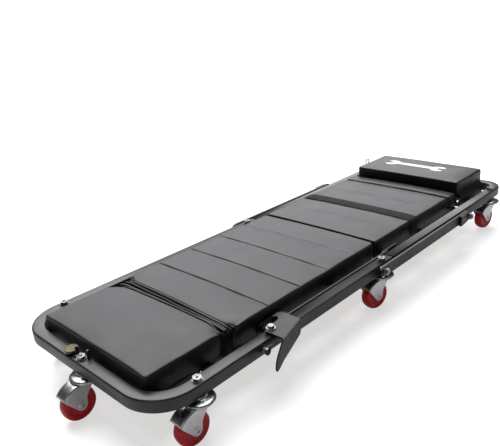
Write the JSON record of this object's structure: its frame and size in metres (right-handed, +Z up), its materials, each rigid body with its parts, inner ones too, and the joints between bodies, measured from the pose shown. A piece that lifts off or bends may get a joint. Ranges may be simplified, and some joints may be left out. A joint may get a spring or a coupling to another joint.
{
  "type": "mechanics creeper",
  "caption": "Low rolling creeper with a black padded bed on a steel tube frame, red swivel castors, links that fold it up into a seat, a hinged headrest and a side latch lever.",
  "frame": {"origin": "on the floor under the middle of the creeper's length and width, lying flat", "axes": "+X from the foot end to the head end, +Y to the left side of a person lying on it, +Z up from the floor"},
  "size_m": [1.3258, 0.4911, 0.1525],
  "materials": {
    "frame_paint": "semi-gloss powder coat",
    "lever_paint": "satin powder coat",
    "bolt_zinc": "satin zinc plate",
    "castor_zinc": "bright zinc plate",
    "spring_steel": "dull",
    "cushion_vinyl": "smooth vinyl with a soft sheen",
    "band_vinyl": "matte woven band",
    "board": "raw plywood",
    "wheel_red": "glossy cast polyurethane",
    "disc_brass": "satin",
    "clip_dark": "glossy"
  },
  "bodies": {
    "foot_frame": {"frame_foot": "frame_paint", "cross_bars_foot": "frame_paint", "front_lower_bolts": "bolt_zinc", "rear_lower_bolts": "bolt_zinc", "latch_bolt": "bolt_zinc", "latch_spring": "spring_steel", "foot_pad": "cushion_vinyl", "foot_board": "board", "long_pad": "cushion_vinyl", "long_board": "board", "foot_disc": "disc_brass", "foot_clip": "clip_dark", "castor_stems_foot": "bolt_zinc", "castor_heads_foot": "castor_zinc", "castor_nuts_foot": "castor_zinc"},
    "front_links": {"front_link_left": "lever_paint", "front_link_right": "lever_paint"},
    "rear_links": {"rear_link_left": "lever_paint", "rear_link_right": "lever_paint", "link_stops": "lever_paint"},
    "head_frame": {"frame_head": "frame_paint", "cross_bars_head": "frame_paint", "front_upper_bolts": "bolt_zinc", "rear_upper_bolts": "bolt_zinc", "seat_gussets": "frame_paint", "seat_pad": "cushion_vinyl", "seat_board": "board", "seat_band": "band_vinyl", "headrest_pins": "bolt_zinc", "wire_loop": "lever_paint", "rail_hooks": "frame_paint", "castor_stems_head": "bolt_zinc", "castor_heads_head": "castor_zinc", "castor_nuts_head": "castor_zinc"},
    "headrest": {"headrest_pad": "cushion_vinyl", "headrest_board": "board", "headrest_arms": "lever_paint"},
    "latch": {"latch_lever": "lever_paint"},
    "swivel_1": {"fork_1": "castor_zinc", "axle_1": "bolt_zinc"},
    "rolling_1": {"wheel_1": "wheel_red"},
    "swivel_2": {"fork_2": "castor_zinc", "axle_2": "bolt_zinc"},
    "rolling_2": {"wheel_2": "wheel_red"},
    "swivel_3": {"fork_3": "castor_zinc", "axle_3": "bolt_zinc"},
    "rolling_3": {"wheel_3": "wheel_red"},
    "swivel_4": {"fork_4": "castor_zinc", "axle_4": "bolt_zinc"},
    "rolling_4": {"wheel_4": "wheel_red"},
    "swivel_5": {"fork_5": "castor_zinc", "axle_5": "bolt_zinc"},
    "rolling_5": {"wheel_5": "wheel_red"},
    "swivel_6": {"fork_6": "castor_zinc", "axle_6": "bolt_zinc"},
    "rolling_6": {"wheel_6": "wheel_red"},
    "swivel_7": {"fork_7": "castor_zinc", "axle_7": "bolt_zinc"},
    "rolling_7": {"wheel_7": "wheel_red"}
  },
  "joints": [
    {"name": "fold", "type": "hinge", "parent": "foot_frame", "child": "front_links", "pos_m": [-0.33913, 0, 0.096], "axis": [0, -1, 0], "range_deg": [0, 114]},
    {"name": "rear_link_hinge", "type": "hinge", "parent": "foot_frame", "child": "rear_links", "pos_m": [-0.00912, 0, 0.096], "axis": [0, -1, 0], "range_deg": [0, 114]},
    {"name": "head_frame_hinge", "type": "hinge", "parent": "front_links", "child": "head_frame", "pos_m": [0.06087, 0, 0.096], "axis": [0, -1, 0], "range_deg": [-114, 0]},
    {"name": "headrest_hinge", "type": "hinge", "parent": "head_frame", "child": "headrest", "pos_m": [0.42788, 0, 0.0945], "axis": [0, -1, 0], "range_deg": [0, 66]},
    {"name": "latch_turn", "type": "hinge", "parent": "foot_frame", "child": "latch", "pos_m": [-0.34913, -0.2, 0.1125], "axis": [0, 0, 1], "range_deg": [-18, 0], "stiffness_Nm_per_rad": 1},
    {"name": "swivel_1_turn", "type": "hinge", "parent": "foot_frame", "child": "swivel_1", "pos_m": [-0.60962, 0, 0.0709], "axis": [0, 0, 1], "continuous": true},
    {"name": "wheel_1_roll", "type": "hinge", "parent": "swivel_1", "child": "rolling_1", "pos_m": [-0.63113, 0, 0.03175], "axis": [0, 1, 0], "continuous": true},
    {"name": "swivel_2_turn", "type": "hinge", "parent": "foot_frame", "child": "swivel_2", "pos_m": [-0.52612, -0.2025, 0.0709], "axis": [0, 0, 1], "continuous": true},
    {"name": "wheel_2_roll", "type": "hinge", "parent": "swivel_2", "child": "rolling_2", "pos_m": [-0.54761, -0.20175, 0.03175], "axis": [0.0349, 0.9994, 0], "continuous": true},
    {"name": "swivel_3_turn", "type": "hinge", "parent": "foot_frame", "child": "swivel_3", "pos_m": [-0.52612, 0.2025, 0.0709], "axis": [0, 0, 1], "continuous": true},
    {"name": "wheel_3_roll", "type": "hinge", "parent": "swivel_3", "child": "rolling_3", "pos_m": [-0.54751, 0.20025, 0.03175], "axis": [-0.1045, 0.9945, 0], "continuous": true},
    {"name": "swivel_4_turn", "type": "hinge", "parent": "foot_frame", "child": "swivel_4", "pos_m": [0.01238, -0.2025, 0.0709], "axis": [0, 0, 1], "continuous": true},
    {"name": "wheel_4_roll", "type": "hinge", "parent": "swivel_4", "child": "rolling_4", "pos_m": [-0.00866, -0.19803, 0.03175], "axis": [0.2079, 0.9781, 0], "continuous": true},
    {"name": "swivel_5_turn", "type": "hinge", "parent": "foot_frame", "child": "swivel_5", "pos_m": [0.01238, 0.2025, 0.0709], "axis": [0, 0, 1], "continuous": true},
    {"name": "wheel_5_roll", "type": "hinge", "parent": "swivel_5", "child": "rolling_5", "pos_m": [-0.00904, 0.20437, 0.03175], "axis": [0.0872, 0.9962, 0], "continuous": true},
    {"name": "swivel_6_turn", "type": "hinge", "parent": "head_frame", "child": "swivel_6", "pos_m": [0.58588, -0.2025, 0.0709], "axis": [0, 0, 1], "continuous": true},
    {"name": "wheel_6_roll", "type": "hinge", "parent": "swivel_6", "child": "rolling_6", "pos_m": [0.56464, -0.19914, 0.03175], "axis": [0.1564, 0.9877, 0], "continuous": true},
    {"name": "swivel_7_turn", "type": "hinge", "parent": "head_frame", "child": "swivel_7", "pos_m": [0.58588, 0.2025, 0.0709], "axis": [0, 0, 1], "continuous": true},
    {"name": "wheel_7_roll", "type": "hinge", "parent": "swivel_7", "child": "rolling_7", "pos_m": [0.56443, 0.201, 0.03175], "axis": [-0.0698, 0.9976, 0], "continuous": true}
  ],
  "couplings": [
    {"joint": "rear_link_hinge", "follows": "fold", "ratio": 1},
    {"joint": "head_frame_hinge", "follows": "fold", "ratio": -1}
  ]
}
